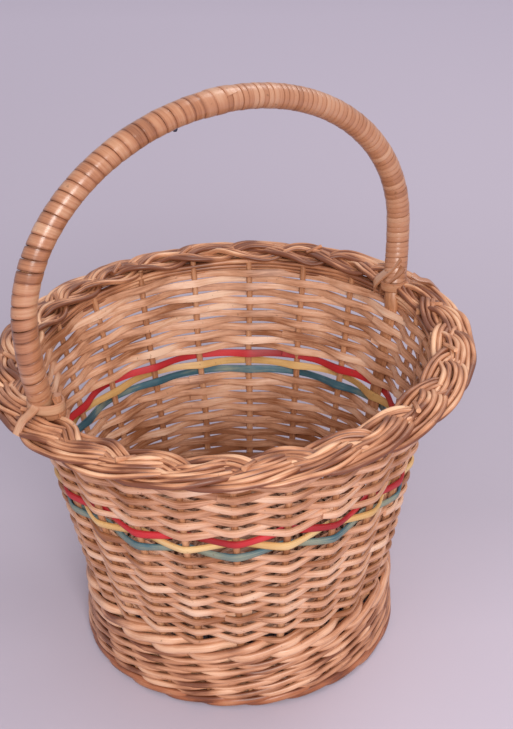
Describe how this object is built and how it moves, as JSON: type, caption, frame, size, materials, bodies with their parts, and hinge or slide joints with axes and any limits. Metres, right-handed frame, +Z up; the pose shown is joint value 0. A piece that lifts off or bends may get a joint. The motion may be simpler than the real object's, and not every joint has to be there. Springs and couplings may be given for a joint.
{
  "type": "easter basket",
  "caption": "Round woven willow basket with outward-leaning open weave walls, a striped band, a plaited rim, a flared foot and a fixed wrapped hoop handle.",
  "frame": {"origin": "middle of the foot's underside, on the surface that the basket stands on", "axes": "+Z up; the hoop handle stands in the XZ plane, with its lower rim side at -X and its higher rim side at +X"},
  "size_m": [0.2524, 0.249, 0.3028],
  "materials": {
    "stakes": "satin",
    "weavers": "satin",
    "red_weaver": "satin",
    "yellow_weaver": "satin",
    "teal_weaver": "satin",
    "rim_rods": "satin",
    "foot_rods": "satin",
    "base_rods": "satin",
    "skein": "satin",
    "tack": "satin"
  },
  "bodies": {
    "root": {"base_sticks": "base_rods", "base_weave": "base_rods", "foot_border": "foot_rods", "foot_stakes": "foot_rods", "foot_weave": "foot_rods", "hoop_rod": "stakes", "hoop_tack": "tack", "hoop_ties": "skein", "hoop_wrap_far": "skein", "hoop_wrap_near": "skein", "plait_strand_1": "rim_rods", "plait_strand_2": "rim_rods", "plait_strand_3": "rim_rods", "side_stakes_back": "stakes", "side_stakes_front": "stakes", "waist_wale": "foot_rods", "weaver_red": "red_weaver", "weaver_row_01": "weavers", "weaver_row_02": "weavers", "weaver_row_03": "weavers", "weaver_row_04": "weavers", "weaver_row_05": "weavers", "weaver_row_06": "weavers", "weaver_row_07": "weavers", "weaver_row_08": "weavers", "weaver_row_09": "weavers", "weaver_row_10": "weavers", "weaver_row_11": "weavers", "weaver_row_12": "weavers", "weaver_row_13": "weavers", "weaver_row_14": "weavers", "weaver_row_15": "weavers", "weaver_row_16": "weavers", "weaver_row_17": "weavers", "weaver_row_21": "weavers", "weaver_row_22": "weavers", "weaver_row_23": "weavers", "weaver_row_24": "weavers", "weaver_row_25": "weavers", "weaver_row_26": "weavers", "weaver_row_27": "weavers", "weaver_row_28": "weavers", "weaver_row_29": "weavers", "weaver_row_30": "weavers", "weaver_row_31": "weavers", "weaver_row_32": "weavers", "weaver_teal": "teal_weaver", "weaver_yellow": "yellow_weaver"}
  },
  "joints": []
}
